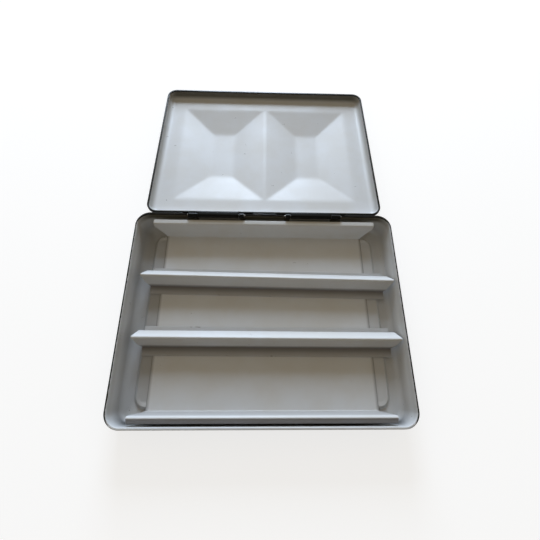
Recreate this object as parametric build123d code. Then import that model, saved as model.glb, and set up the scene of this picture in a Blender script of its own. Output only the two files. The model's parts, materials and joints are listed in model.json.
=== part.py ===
from build123d import *
import os
from math import asin, atan2, degrees, hypot

# A pressed sheet-metal watercolour tin, shown open with its lid laid back on the table.
# Millimetres. The origin is the middle of the base's underside, +Z is up, -Y is the front,
# and the hinge line runs along X at the back.

# Base
BASE_WIDTH = 140.0          # over the rim, along X
BASE_DEPTH = 108.0          # over the rim, along Y
BASE_HEIGHT = 14.2
BASE_CORNER = 7.5           # plan radius of the rim's corners
BASE_LEAN = 0.8             # how far each wall leans in from rim to floor
BASE_ROUND = 3.0            # inside radius where a wall meets the floor
SHEET = 0.5                 # thickness of the base and the lid
HEM = 0.5                   # thickness of the folded-over edge outside the rim
BASE_HEM_HEIGHT = 2.2
RIM_EASE = 0.2              # rounding of the rim's two top edges
FLOOR_RING = 2.8            # flat ring between the wall's round and the raised floor panel
FLOOR_STEP = 1.4            # run of the slope up to the raised panel
PANEL_CORNER = 6.0

# Lid
LID_INSET = 4.1             # the closed lid drops inside the base's rim, this far in on three sides
LID_BACK_INSET = 3.2        # and this far in at the hinges
LID_NEST = 0.4              # how deep its rim lies below the base's rim when closed
LID_HEIGHT = 5.4
LID_CORNER = 6.0
LID_LEAN = 0.4
LID_ROUND = 3.5
LID_HEM_HEIGHT = 1.6
WELL_COUNT = 2
WELL_DEPTH = 3.5
WELL_MARGIN = 12.7          # from the lid's outline to a well's edge
WELL_RIDGE = 1.6            # between two wells
WELL_FLAT_X = 14.2          # the flat at the bottom of a well
WELL_FLAT_Y = 35.7
WELL_CORNER = 1.2

# Hinges
HINGE_X = 25.7              # from the middle to each hinge
HINGE_SHEET = 0.5
PIN_RADIUS = 0.7
PIN_CLEARANCE = 0.05        # radial, between a pin and the curls around it
PIN_PROUD = 0.5             # a pin stands out this far past its ears
PIN_ROUND = 0.2             # rounding of its two ends
KNUCKLE_LENGTH = 22.5
EAR_OUTER = 5.1
EAR_INNER = 2.7
EAR_GAP = 0.15              # beside the knuckle
PLATE_MARGIN = 2.5          # of the base's plate, past the outer ear
BASE_PLATE_DROP = 8.0       # from the pin's axis down to the base plate's lower edge
NOTCH_CLEARANCE = 0.3
PIN_BELOW_RIM = 0.4

# Pan insert
PAN_DEPTH = 11.6            # from the base's rim down to the insert's floor
INSERT_SHEET = 0.5
FLOOR_INSET = 14.3          # from the base's rim to the ends of the insert's floor
RAIL_DROP = 1.3             # the rails' ridges, before they are rounded, lie this far below the rim
RAIL_FLARE = 5.2            # the front and back rails are longer than the floor, by this at each end
FRONT_RIDGE_INSET = 5.0     # from the base's rim to the front rail's ridge
FRONT_LEAN = 2.0            # how far the front and back rails lean outwards
BACK_LEAN = 2.5
FRONT_FLAP_RUN = 3.0        # how wide their outer folded edges are, seen from above
BACK_FLAP_RUN = 2.3
FRONT_FLAP_FALL = 0.7       # how far these edges fall for each millimetre outwards
BACK_FLAP_FALL = 0.05
FLAP_GAP = 2.85             # from the back one's mid-line to the base's wall at the rim
RAIL_BEND = 0.6             # radius of the bends, at mid-thickness

MIDDLE_RIDGES = {"back": 17.1, "front": -14.2}   # Y of each middle rail's ridge at its middle
MIDDLE_SKEWS = {"back": 0.95, "front": 0.25}     # degrees that its left end lies turned back
MIDDLE_OFFSET = 2.0         # both middle rails sit this far right of the middle
MIDDLE_GAP = 0.7            # between their right ends and the base's rim
MIDDLE_WAIST_CUT = 1.7      # each end is this much shorter at the waist than at the ridge
MIDDLE_FOOT_CUT = 3.5       # and this much shorter at the foot
MIDDLE_END_ROUND = 2.5
MIDDLE_WAIST = 2.6          # height of the waist above the insert's floor
FOOT_WIDTH = 4.3            # the front foot that is welded to the floor
WEB_LEAN = 3.0              # the front web leans back this far from foot to ridge
SLOPE_RUN = 4.3             # the long rear slope
SLOPE_DROP = 6.3
LEG_RUN = 0.3               # the steep leg below it
REAR_FOOT_WIDTH = 2.4       # the narrow foot behind the leg
LEG_CLEARANCE = 0.05        # between the rear foot and the insert's floor

# Worked out from the sizes above
HALF_DEPTH = BASE_DEPTH / 2
BASE_SLOPE = BASE_LEAN / BASE_HEIGHT
LID_SLOPE = LID_LEAN / LID_HEIGHT
LID_WIDTH = BASE_WIDTH - 2 * LID_INSET
LID_DEPTH = BASE_DEPTH - LID_INSET - LID_BACK_INSET

FLOOR_TOP = BASE_HEIGHT - PAN_DEPTH              # the insert's floor, upper face
FLOOR_UNDER = FLOOR_TOP - INSERT_SHEET
PANEL_RISE = FLOOR_UNDER - SHEET                 # the base's raised panel carries the insert
RAIL_TOP = BASE_HEIGHT - RAIL_DROP
FLOOR_LENGTH = BASE_WIDTH - 2 * FLOOR_INSET
RAIL_LENGTH = FLOOR_LENGTH + 2 * RAIL_FLARE
MIDDLE_LENGTH = BASE_WIDTH - 2 * (HEM + SHEET + MIDDLE_OFFSET + MIDDLE_GAP)

BORE_RADIUS = PIN_RADIUS + PIN_CLEARANCE
CURL_RADIUS = BORE_RADIUS + HINGE_SHEET
WALL_FACE = HALF_DEPTH - HEM                     # the back wall's outer face at the rim
PIN_Y = WALL_FACE + HINGE_SHEET - CURL_RADIUS
PIN_Z = BASE_HEIGHT - PIN_BELOW_RIM
PLATE_LENGTH = KNUCKLE_LENGTH + 2 * (EAR_GAP + EAR_OUTER + PLATE_MARGIN)

# The ridges of the insert's two upturned walls, from the middle
FRONT_RIDGE = HALF_DEPTH - FRONT_RIDGE_INSET
BACK_RIDGE = HALF_DEPTH - HEM - SHEET - FLAP_GAP - BACK_FLAP_RUN

# The lid laid flat open, a half turn about the pins from closed
LID_NEAR = 2 * PIN_Y - (HALF_DEPTH - LID_BACK_INSET)
LID_CENTRE = LID_NEAR + LID_DEPTH / 2
LID_RIM = 2 * PIN_Z - (BASE_HEIGHT - LID_NEST)
LID_UNDER = LID_RIM - LID_HEIGHT


def rounded_plan(width, depth, corner, height):
    """A flat rounded rectangle, centred on the Z axis."""
    return Pos(0, 0, height) * RectangleRounded(width, depth, corner)


def dish_block(width, depth, corner, slope, round_radius, bottom, top):
    """A solid block with leaning walls: its plan is width x depth at the height top, and it narrows
    by slope on the way down to a rounded lower edge."""
    lean = slope * (top - bottom)
    plan = rounded_plan(width - 2 * lean, depth - 2 * lean, corner - lean, bottom)
    block = extrude(plan, top - bottom, taper=-degrees(atan2(lean, top - bottom)))
    return fillet(block.edges().group_by(Axis.Z)[0], round_radius)


def frustum(low_plan, high_plan):
    """A straight-sided solid between two flat plans."""
    return loft(Sketch() + [low_plan, high_plan], ruled=True)


def pressed_dish(width, depth, corner, slope, round_radius, height, hem_height):
    """The outer and inner blocks of a dish with walls SHEET thick. The outer one has the hem, the
    band outside the top of the wall where the edge is folded over."""
    outer = dish_block(
        width - 2 * HEM, depth - 2 * HEM, corner - HEM, slope, round_radius + SHEET, 0, height
    )
    outer += extrude(rounded_plan(width, depth, corner, height - hem_height), hem_height)
    wall = HEM + SHEET
    inner = dish_block(
        width - 2 * wall, depth - 2 * wall, corner - wall, slope, round_radius, SHEET, height
    )
    return outer, inner


def ease_rim(shell):
    """Rounds the rim's two top edges."""
    rim = shell.faces().filter_by(Axis.Z).group_by(Axis.Z)[-1]
    return fillet(rim.edges(), RIM_EASE)


def raised_panel(foot):
    """The block that the base's floor panel is pressed over. Its lower edge is at the height foot."""
    inset = HEM + BASE_LEAN + SHEET + BASE_ROUND + FLOOR_RING
    width = BASE_WIDTH - 2 * inset
    depth = BASE_DEPTH - 2 * inset
    low = rounded_plan(width, depth, PANEL_CORNER, foot)
    high = rounded_plan(
        width - 2 * FLOOR_STEP, depth - 2 * FLOOR_STEP, PANEL_CORNER - FLOOR_STEP, foot + PANEL_RISE
    )
    return frustum(low, high)


def hinge_centres():
    """The X of each hinge, by its side."""
    return {"left": -HINGE_X, "right": HINGE_X}


def ear_spans(side):
    """The (low X, high X) of a hinge's two ears. The long ear is away from the tin's middle."""
    centre = hinge_centres()[side]
    low_ear, high_ear = (EAR_OUTER, EAR_INNER) if side == "left" else (EAR_INNER, EAR_OUTER)
    low = centre - KNUCKLE_LENGTH / 2 - EAR_GAP
    high = centre + KNUCKLE_LENGTH / 2 + EAR_GAP
    return (low - low_ear, low), (high, high + high_ear)


def x_bar(low, high, points):
    """A bar from X low to X high whose section is the polygon through the (Y, Z) points."""
    section = make_face(Polyline(*[(low, y, z) for y, z in points], close=True))
    return extrude(section, high - low, dir=(1, 0, 0))


def x_rod(radius, low, high):
    """A round rod on the pins' axis."""
    return Pos((low + high) / 2, PIN_Y, PIN_Z) * Rot(0, 90, 0) * Cylinder(radius, high - low)


def base_face(z):
    """The Y of the base's back wall, on its outside, at the height z."""
    return WALL_FACE - BASE_SLOPE * (BASE_HEIGHT - z)


def hinge_notch(side):
    """What is cut out of the base's back wall at one hinge: the hem over the plate, and the wall
    around the curls and the pin's ends."""
    centre = hinge_centres()[side]
    (low, _), (_, high) = ear_spans(side)
    plate = PLATE_LENGTH / 2 + NOTCH_CLEARANCE
    bottom, top = BASE_HEIGHT - BASE_HEM_HEIGHT - NOTCH_CLEARANCE, BASE_HEIGHT + HEM
    outside = HALF_DEPTH + HEM
    over_hem = x_bar(
        centre - plate, centre + plate,
        [(base_face(bottom), bottom), (outside, bottom), (outside, top), (base_face(top), top)],
    )
    bottom = PIN_Z - CURL_RADIUS - NOTCH_CLEARANCE
    inside = PIN_Y - CURL_RADIUS - NOTCH_CLEARANCE
    around_curls = x_bar(
        low - PIN_PROUD - NOTCH_CLEARANCE, high + PIN_PROUD + NOTCH_CLEARANCE,
        [(inside, bottom), (outside, bottom), (outside, top), (inside, top)],
    )
    return over_hem + around_curls


def base_tray():
    """The tin's base: a dish with a raised floor panel, a hemmed rim and a notch for each hinge."""
    outer, inner = pressed_dish(
        BASE_WIDTH, BASE_DEPTH, BASE_CORNER, BASE_SLOPE, BASE_ROUND, BASE_HEIGHT, BASE_HEM_HEIGHT
    )
    shell = (outer - raised_panel(0)) - (inner - raised_panel(SHEET))
    shell = ease_rim(shell)
    for side in hinge_centres():
        shell -= hinge_notch(side)
    return shell


def base_hinge_plate(side):
    """The plate on the outside of the base's back wall, with an ear curled round the pin at each
    end of its knuckle."""
    centre = hinge_centres()[side]
    foot = PIN_Z - BASE_PLATE_DROP
    shoulder = PIN_Z - CURL_RADIUS - NOTCH_CLEARANCE
    low_edge, high_edge = base_face(foot), base_face(shoulder)
    plate = x_bar(
        centre - PLATE_LENGTH / 2, centre + PLATE_LENGTH / 2,
        [(low_edge, foot), (low_edge + HINGE_SHEET, foot),
         (high_edge + HINGE_SHEET, shoulder), (high_edge, shoulder)],
    )
    for low, high in ear_spans(side):
        strap = x_bar(
            low, high,
            [(high_edge, shoulder), (high_edge + HINGE_SHEET, shoulder),
             (WALL_FACE + HINGE_SHEET, PIN_Z), (WALL_FACE, PIN_Z)],
        )
        plate += strap + x_rod(CURL_RADIUS, low, high)
        plate -= x_rod(BORE_RADIUS, low, high)
    return plate


def hinge_pin(side):
    """A wire pin through both ears and the knuckle."""
    (low, _), (_, high) = ear_spans(side)
    pin = x_rod(PIN_RADIUS, low - PIN_PROUD, high + PIN_PROUD)
    return fillet(pin.edges().filter_by(GeomType.CIRCLE), PIN_ROUND)


def lid_hinge_plate(side):
    """The plate on the outside of the lid's hem, with the knuckle curled round the pin. It is drawn
    with the lid laid flat open."""
    centre = hinge_centres()[side]
    low, high = centre - KNUCKLE_LENGTH / 2, centre + KNUCKLE_LENGTH / 2
    foot = LID_RIM - LID_HEM_HEIGHT
    top = PIN_Z + CURL_RADIUS
    strap = x_bar(
        low, high,
        [(PIN_Y, top - HINGE_SHEET), (LID_NEAR - HINGE_SHEET, top - HINGE_SHEET),
         (LID_NEAR - HINGE_SHEET, foot), (LID_NEAR, foot), (LID_NEAR, top), (PIN_Y, top)],
    )
    knuckle = strap + x_rod(CURL_RADIUS, low, high)
    return knuckle - x_rod(BORE_RADIUS, low, high)


def well_plans(height_open, height_flat):
    """The (opening, flat) plans of each well, in the lid's own frame."""
    length = (LID_WIDTH - 2 * WELL_MARGIN - (WELL_COUNT - 1) * WELL_RIDGE) / WELL_COUNT
    depth = LID_DEPTH - 2 * WELL_MARGIN
    start = -LID_WIDTH / 2 + WELL_MARGIN + length / 2
    for index in range(WELL_COUNT):
        place = Pos(start + index * (length + WELL_RIDGE), 0, 0)
        opening = place * rounded_plan(length, depth, WELL_CORNER, height_open)
        flat = place * rounded_plan(WELL_FLAT_X, WELL_FLAT_Y, WELL_CORNER, height_flat)
        yield opening, flat


def lid_shell():
    """The lid, laid flat open: a shallow dish with mixing wells pressed down into its panel."""
    outer, inner = pressed_dish(
        LID_WIDTH, LID_DEPTH, LID_CORNER, LID_SLOPE, LID_ROUND, LID_HEIGHT, LID_HEM_HEIGHT
    )
    shell = ease_rim(outer - inner)
    for opening, flat in well_plans(0, -WELL_DEPTH):
        shell += frustum(flat, opening)
    for opening, flat in well_plans(SHEET, SHEET - WELL_DEPTH):
        shell -= frustum(flat, opening)
    return Pos(0, LID_CENTRE, LID_UNDER) * shell


def resting_tilt():
    """How far past a half turn the lid opens, in degrees: until a well's flat or the panel's far
    edge lies on the table."""
    touching = [
        (LID_CENTRE + WELL_FLAT_Y / 2, LID_UNDER - WELL_DEPTH),
        (LID_CENTRE + LID_DEPTH / 2 - HEM - LID_LEAN - SHEET - LID_ROUND, LID_UNDER),
    ]
    tilts = []
    for y, z in touching:
        reach = hypot(y - PIN_Y, PIN_Z - z)
        tilts.append(degrees(asin(PIN_Z / reach) - atan2(PIN_Z - z, y - PIN_Y)))
    return min(tilts)


def laid_back(piece):
    """Turns a piece of the flat open lid about the pins until the lid rests on the table."""
    return Pos(0, PIN_Y, PIN_Z) * Rot(-resting_tilt(), 0, 0) * Pos(0, -PIN_Y, -PIN_Z) * piece


def folded_strip(points, bend, thickness, low, high):
    """A strip of sheet folded along the (Y, Z) points, its mid-line, and running from X low to high."""
    path = FilletPolyline(*[(low, y, z) for y, z in points], radius=bend)
    section = make_face(offset(path, thickness / 2, side=Side.BOTH))
    return extrude(section, high - low, dir=(1, 0, 0))


def end_outline(points, reach):
    """A block as deep as reach whose outline, seen from the front, is points mirrored about X 0."""
    whole = points + [(-x, z) for x, z in reversed(points)]
    face = make_face(Polyline(*[(x, -reach, z) for x, z in whole], close=True))
    return extrude(face, 2 * reach, dir=(0, 1, 0))


def insert_tray():
    """The insert's floor, front rail and back rail, folded from one sheet."""
    half = INSERT_SHEET / 2
    section = [
        (-FRONT_RIDGE - FRONT_FLAP_RUN, RAIL_TOP - half - FRONT_FLAP_FALL * FRONT_FLAP_RUN),
        (-FRONT_RIDGE, RAIL_TOP - half),
        (FRONT_LEAN - FRONT_RIDGE, FLOOR_UNDER + half),
        (BACK_RIDGE - BACK_LEAN, FLOOR_UNDER + half),
        (BACK_RIDGE, RAIL_TOP - half),
        (BACK_RIDGE + BACK_FLAP_RUN, RAIL_TOP - half - BACK_FLAP_FALL * BACK_FLAP_RUN),
    ]
    sheet = folded_strip(section, RAIL_BEND, INSERT_SHEET, -RAIL_LENGTH / 2, RAIL_LENGTH / 2)
    square = RAIL_TOP - INSERT_SHEET - FRONT_FLAP_FALL * FRONT_FLAP_RUN    # the ends are square above
    ends = end_outline(
        [(FLOOR_LENGTH / 2, FLOOR_UNDER - INSERT_SHEET), (FLOOR_LENGTH / 2, FLOOR_TOP + RAIL_BEND),
         (RAIL_LENGTH / 2, square), (RAIL_LENGTH / 2, RAIL_TOP + INSERT_SHEET)],
        HALF_DEPTH,
    )
    return sheet & ends


def middle_rail(place):
    """A sprung rail between two rows of pans: a welded front foot, a web up to the ridge, and a
    long slope, a leg and a narrow foot behind it. It is welded on a little out of square."""
    ridge = MIDDLE_RIDGES[place]
    half = INSERT_SHEET / 2
    foot = ridge - WEB_LEAN
    section = [
        (foot - FOOT_WIDTH, FLOOR_TOP + half),
        (foot, FLOOR_TOP + half),
        (ridge, RAIL_TOP - half),
        (ridge + SLOPE_RUN, RAIL_TOP - half - SLOPE_DROP),
        (ridge + SLOPE_RUN + LEG_RUN, FLOOR_TOP + half + LEG_CLEARANCE),
        (ridge + SLOPE_RUN + LEG_RUN + REAR_FOOT_WIDTH, FLOOR_TOP + half + LEG_CLEARANCE),
    ]
    end = MIDDLE_LENGTH / 2
    strip = folded_strip(section, RAIL_BEND, INSERT_SHEET, -end, end)
    outline = end_outline(
        [(end - MIDDLE_FOOT_CUT, FLOOR_TOP - INSERT_SHEET), (end - MIDDLE_FOOT_CUT, FLOOR_TOP),
         (end - MIDDLE_WAIST_CUT, FLOOR_TOP + MIDDLE_WAIST),
         (end, RAIL_TOP), (end, RAIL_TOP + INSERT_SHEET)],
        HALF_DEPTH,
    )
    waist = [e for e in outline.edges().filter_by(Axis.Y)
             if abs(e.center().Z - FLOOR_TOP - MIDDLE_WAIST) < RIM_EASE]
    outline = fillet(waist, MIDDLE_END_ROUND)
    turned = Rot(0, 0, -MIDDLE_SKEWS[place]) * Pos(0, -ridge, 0) * (strip & outline)
    return Pos(MIDDLE_OFFSET, ridge, 0) * turned


def make_pieces():
    """Every piece of the tin, by its node name, where it lies when the tin is open."""
    pieces = {"base_tray": base_tray(), "lid_shell": laid_back(lid_shell()), "insert_tray": insert_tray()}
    for place in MIDDLE_RIDGES:
        pieces[f"middle_rail_{place}"] = middle_rail(place)
    for side in hinge_centres():
        pieces[f"base_hinge_plate_{side}"] = base_hinge_plate(side)
        pieces[f"lid_hinge_plate_{side}"] = laid_back(lid_hinge_plate(side))
        pieces[f"hinge_pin_{side}"] = hinge_pin(side)
    return pieces


os.makedirs("parts", exist_ok=True)
for node, piece in make_pieces().items():
    export_step(piece, f"parts/{node}.step")
print(f"lid opens {180 + resting_tilt():.3f} degrees about Y {PIN_Y:.3f}, Z {PIN_Z:.3f}")
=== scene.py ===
import json
from math import cos, hypot, pi, radians, sin
import bmesh
import bpy
import numpy as np
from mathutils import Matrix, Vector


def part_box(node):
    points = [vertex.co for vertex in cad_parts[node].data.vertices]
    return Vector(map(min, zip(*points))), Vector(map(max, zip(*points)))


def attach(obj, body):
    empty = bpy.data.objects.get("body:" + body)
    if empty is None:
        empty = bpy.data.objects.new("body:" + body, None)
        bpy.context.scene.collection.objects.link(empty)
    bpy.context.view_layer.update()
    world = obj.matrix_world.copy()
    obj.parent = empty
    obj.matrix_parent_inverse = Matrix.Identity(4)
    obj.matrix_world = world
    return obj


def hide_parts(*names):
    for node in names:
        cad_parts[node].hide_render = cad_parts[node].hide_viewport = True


# An enamelled watercolour tin, open on a white table: white inside, black outside. Sizes are
# in millimetres and are turned to metres where a mesh is made.

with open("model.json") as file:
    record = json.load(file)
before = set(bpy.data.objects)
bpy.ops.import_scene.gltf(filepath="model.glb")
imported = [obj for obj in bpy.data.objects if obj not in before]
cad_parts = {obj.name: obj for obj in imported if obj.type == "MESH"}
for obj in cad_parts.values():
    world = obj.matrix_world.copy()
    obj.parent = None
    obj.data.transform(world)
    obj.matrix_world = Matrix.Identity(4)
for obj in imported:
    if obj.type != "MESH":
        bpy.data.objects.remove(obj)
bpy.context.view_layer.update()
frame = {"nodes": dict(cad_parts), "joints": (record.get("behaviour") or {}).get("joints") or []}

MM = 0.001
tray_low, tray_high = (np.array(corner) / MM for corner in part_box("base_tray"))
insert_low, insert_high = (np.array(corner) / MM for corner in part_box("insert_tray"))
lid_hinge = next(joint for joint in frame["joints"] if joint["name"] == "lid_hinge")

# How finely the meshes are divided
ARC_STEPS = 16                # round each corner of a dish
CAP_STEPS = 4                 # round a folded sheet's edge
BEND_POINTS = 9               # on each bend of a profile
CURL_POINTS = 34              # round a hinge's curl
BASE_COLUMNS = (121, 81)      # along X and along Y
LID_COLUMNS = (161, 121)
SHEET_COLUMNS = 81            # along the insert and the middle rails
PLATE_COLUMNS, EAR_COLUMNS = 41, 9
PLATE_ROWS = 12
RUN_STEP = 1.2                # the longest straight run of a folded sheet without a point
SHARP_ANGLE = 38              # edges that turn by more degrees than this stay sharp

# The base
BASE_WIDTH, BASE_DEPTH, BASE_HEIGHT = tray_high - tray_low
BASE_CORNER = 7.5
BASE_LEAN = 0.8
BASE_ROUND = 3.0
SHEET = 0.5
HEM = 0.5
BASE_HEM_HEIGHT = 2.2
RING_WIDTH = 2.8              # from the wall's round foot to the raised panel's foot
RING_INSET = HEM + BASE_LEAN + SHEET + BASE_ROUND + RING_WIDTH
FLOOR_STEP = 1.4
PANEL_EDGE = 1.5              # the flat edge of the panel that belongs to the rings
PANEL_CORNER = 6.0
SMALLEST_CORNER = 1.0
PANEL_BEND = 0.7
RIM_EASE, HEM_EASE, HEM_FOLD = 0.22, 0.16, 0.05
BACK_BAND = 2.6               # the hem and the wall lie within this of the back edge
CUT_FOLD = 0.03               # how much of its height is left to what is folded down at a cut
CUT_WIDTH, CUT_MARGIN = 0.004, 0.15

# The insert
INSERT_SHEET = 0.5
FLOOR_TOP = insert_low[2] + INSERT_SHEET
PANEL_RISE = insert_low[2] - SHEET
RAIL_DROP = 1.3
RAIL_TOP = BASE_HEIGHT - RAIL_DROP      # the rails' ridges, before they are rounded
RAIL_LENGTH = insert_high[0] - insert_low[0]
RAIL_FLARE = 5.2
FLOOR_LENGTH = RAIL_LENGTH - 2 * RAIL_FLARE
FRONT_RIDGE, FRONT_LEAN, FRONT_FLAP_RUN, FRONT_FLAP_FALL = 49.0, 2.0, 2.5, 0.7
BACK_RIDGE, BACK_LEAN, BACK_FLAP_RUN, BACK_FLAP_FALL = 47.85, 2.5, 2.3, 0.05
RAIL_BEND = 0.6
FOOT_WIDTH = 4.3
WEB_LEAN = 3.0
SLOPE_RUN, SLOPE_DROP = 4.3, 6.3
LEG_RUN = 0.3
REAR_FOOT_WIDTH = 2.4
LEG_CLEARANCE = 0.05
MIDDLE_RIDGES = {"back": 17.1, "front": -14.2}
MIDDLE_SKEWS = {"back": radians(0.95), "front": radians(0.25)}
MIDDLE_OFFSET = 2.0
MIDDLE_GAP = 0.7
MIDDLE_HALF = BASE_WIDTH / 2 - HEM - SHEET - MIDDLE_OFFSET - MIDDLE_GAP
RAIL_END_FOOT, RAIL_END_TURN, RAIL_END_RISE = 3.4, 1.6, 2.6
RAIL_END_ROUND, RAIL_END_POINTS = 2.5, 7

# The hinges
PIN_Y, PIN_Z = lid_hinge["pos_m"][1] / MM, lid_hinge["pos_m"][2] / MM
PIN_RADIUS = 0.7
PIN_CLEARANCE = 0.05
HINGE_SHEET = 0.5
HINGE_X = {"left": -25.7, "right": 25.7}
KNUCKLE_LENGTH = 22.5
EAR_OUTER, EAR_INNER, EAR_GAP = 5.1, 2.7, 0.15
PLATE_MARGIN = 2.5
PLATE_LENGTH = KNUCKLE_LENGTH + 2 * (EAR_GAP + EAR_OUTER + PLATE_MARGIN)
PLATE_DROP = 8.0
EAR_CURL = (0, 292)           # in degrees, from the wall's side over the top
KNUCKLE_CURL = (90, 372)
LEAF_BEND, LEAF_LAP = 0.4, 0.1
PIN_PROUD = 0.5
NOTCH_CLEARANCE = 0.3
CURL_MID = PIN_RADIUS + PIN_CLEARANCE + HINGE_SHEET / 2
CURL_OUT = CURL_MID + HINGE_SHEET / 2

# The lid, as it lies flat open before it is tilted back onto the table
TILT = radians(lid_hinge["range_deg"][1] - 180)
LID_INSET, LID_BACK_INSET, LID_NEST = 4.1, 3.2, 0.4
LID_WIDTH = BASE_WIDTH - 2 * LID_INSET
LID_DEPTH = BASE_DEPTH - LID_INSET - LID_BACK_INSET
LID_HEIGHT = 5.4
LID_CORNER = 6.0
LID_LEAN = 0.4
LID_ROUND = 3.5
LID_HEM_HEIGHT = 1.6
LID_NEAR = 2 * PIN_Y - BASE_DEPTH / 2 + LID_BACK_INSET
LID_RIM = 2 * PIN_Z - BASE_HEIGHT + LID_NEST
LID_PANEL_INSET = 7.5
WELL_MARGIN = 12.7
WELL_RIDGE = 1.6
WELL_DEPTH = 3.5
WELL_FLAT = (14.2, 35.7)
HIP_SOFTNESS, FLAT_SOFTNESS = 0.025, 0.04
BRINK_PLACES, BRINK_SOFTNESS = (4, 24), (0.014, 0.035)      # softer towards the lid's ends

# Wear, painted shade and paint. The painted shade darkens walls, feet and edges where they lie in
# shadow. A pair of numbers is the start and the run of a rise from 0 to 1.
WEAR_REACH = 0.6                                    # how far from an edge it is worn
WALL_SHADE, WALL_UNSHADED = (2.3, 1.2), (12.5, 2.0)     # along the sheet from the rim's middle
FOOT_SHADE = (6.0, 6.0)
PANEL_SHADE_X = (-54, -46, 46, 54)                   # full outside these, none in the middle
FLOOR_END_SHADE = (-0.45, 0.3)                       # from the ends of the insert's floor
FLAP_SHADE = (0.3, 0.5)                              # beyond the insert's front ridge
FRONT_SHADE, FRONT_UNSHADED = (0.1, 0.8), (9.4, 2.0)    # above the floor, and above the table
FLOOR_FACE = 0.1                                    # what lies no higher over it is the floor
WEB_SHADE, REAR_SHADE = (-0.5, 0.5), (0, 0.3)
FOOT_SHADE_FALL = ((0.8, 1.8, 3.6), (1, 0.8, 0.5))   # distances from the web, and the painted shade there
BARE_LIP = (-2.0, 1.5, 0.25)                        # paint it starts at, paint and thinness it gets


def make_piece(name, points, faces, values, body, slot, material, replaces):
    """A mesh from points in millimetres, quads, and one value per point for each named attribute.
    Doubled points are merged."""
    mesh = bpy.data.meshes.new(name)
    mesh.from_pydata((points * MM).tolist(), [], faces.tolist())
    for key, numbers in values.items():
        layer = mesh.attributes.new(key, "FLOAT", "POINT")
        layer.data.foreach_set("value", np.ascontiguousarray(numbers, np.float32).ravel())
    piece = bpy.data.objects.new(name, mesh)
    bpy.context.scene.collection.objects.link(piece)
    merge_doubles(mesh)
    mesh.shade_smooth()
    mesh.set_sharp_from_angle(angle=radians(SHARP_ANGLE))
    mesh.materials.append(material)
    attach(piece, body)
    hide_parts(*replaces)
    return piece


def merge_doubles(mesh):
    """Joins points that lie in one place and drops faces that this flattens."""
    work = bmesh.new()
    work.from_mesh(mesh)
    bmesh.ops.remove_doubles(work, verts=work.verts, dist=1e-7)
    bmesh.ops.dissolve_degenerate(work, edges=work.edges, dist=1e-8)
    work.to_mesh(mesh)
    work.free()


def faded(value, start, run):
    """0 up to start, 1 from run beyond it, and evenly rising between them."""
    return np.clip((value - start) / run, 0, 1)


def rounded_line(points, radii, count=BEND_POINTS):
    """A polyline with each inner corner replaced by count points of the arc of its own radius that
    touches both runs. The arc's centre lies on the line that halves the corner."""
    points = np.array(points, float)
    line = [points[:1]]
    for before, corner, after, radius in zip(points[:-2], points[1:-1], points[2:], radii):
        towards = (before - corner) / np.linalg.norm(before - corner)
        away = (after - corner) / np.linalg.norm(after - corner)
        half = np.arccos(np.clip(towards @ away, -1, 1)) / 2
        middle = (towards + away) / np.linalg.norm(towards + away)
        centre = corner + middle * radius / np.sin(half)
        swing = np.linspace(-1, 1, count) * (pi / 2 - half)
        across = away - (away @ middle) * middle
        across /= np.linalg.norm(across)
        arc = centre + radius * (-np.cos(swing)[:, None] * middle + np.sin(swing)[:, None] * across)
        line.append(arc)
    line.append(points[-1:])
    return np.concatenate(line)


def path_columns(along_x, along_y):
    """The columns of a rounded rectangle, round from its front side's left end. Column (a, b, c, d)
    lies at x = a (half width - radius) + b radius and y = c (half depth - radius) + d radius."""
    swing = np.linspace(0, pi / 2, ARC_STEPS + 1)[1:-1]
    one_x, one_y, one_arc = np.ones(len(along_x)), np.ones(len(along_y)), np.ones(len(swing))
    sides = [
        (along_x, 0 * one_x, -one_x, -one_x),
        (one_arc, np.sin(swing), -one_arc, -np.cos(swing)),
        (one_y, one_y, along_y, 0 * one_y),
        (one_arc, np.cos(swing), one_arc, np.sin(swing)),
        (along_x[::-1], 0 * one_x, one_x, one_x),
        (-one_arc, -np.sin(swing), one_arc, np.cos(swing)),
        (-one_y, -one_y, along_y[::-1], 0 * one_y),
        (-one_arc, -np.cos(swing), -one_arc, -np.sin(swing)),
    ]
    return np.concatenate([np.array(side) for side in sides], axis=1)


def ring_points(columns, half_x, half_y, radius, height):
    """Rings of a rounded rectangle, one for each entry of the arrays, as rings x columns x 3."""
    a, b, c, d = columns
    sizes = (half_x, half_y, radius, height)
    half_x, half_y, radius, height = (np.reshape(size, (-1, 1)) for size in sizes)
    x = a * (half_x - radius) + b * radius
    y = c * (half_y - radius) + d * radius
    return np.stack([x, y, height + 0 * x], axis=2)


def ring_faces(rings, columns):
    """Quads between closed rings, facing up where each ring lies outside the last."""
    index = np.arange(rings * columns).reshape(rings, columns)
    turned = np.roll(index, -1, axis=1)
    corners = (index[:-1], index[1:], turned[1:], turned[:-1])
    return np.stack(corners, axis=2).reshape(-1, 4)


def panel_grid(ring, first, count_x, count_y, fresh):
    """Fills a ring with a grid whose edge is the ring itself. Returns the grid's indices and its
    inner points: each lies at the x of its column's end and at the y of its row's end."""
    total = len(ring)
    wide, deep = count_x + ARC_STEPS, count_y + ARC_STEPS
    start = total - ARC_STEPS // 2
    bottom = (start + np.arange(wide)) % total
    right = (bottom[-1] + np.arange(deep)) % total
    top = (right[-1] + np.arange(wide)) % total
    left = (top[-1] + np.arange(deep)) % total
    grid = np.zeros((deep, wide), int)
    inner = (deep - 2) * (wide - 2)
    grid[1:-1, 1:-1] = fresh + np.arange(inner).reshape(deep - 2, wide - 2)
    grid[0, :], grid[:, -1] = first + bottom, first + right
    grid[-1, ::-1], grid[::-1, 0] = first + top, first + left
    x, y = np.meshgrid(ring[bottom, 0][1:-1], ring[right, 1][1:-1])
    z = np.full_like(x, ring[0, 2])
    return grid, np.stack([x, y, z], axis=2).reshape(-1, 3)


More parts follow.
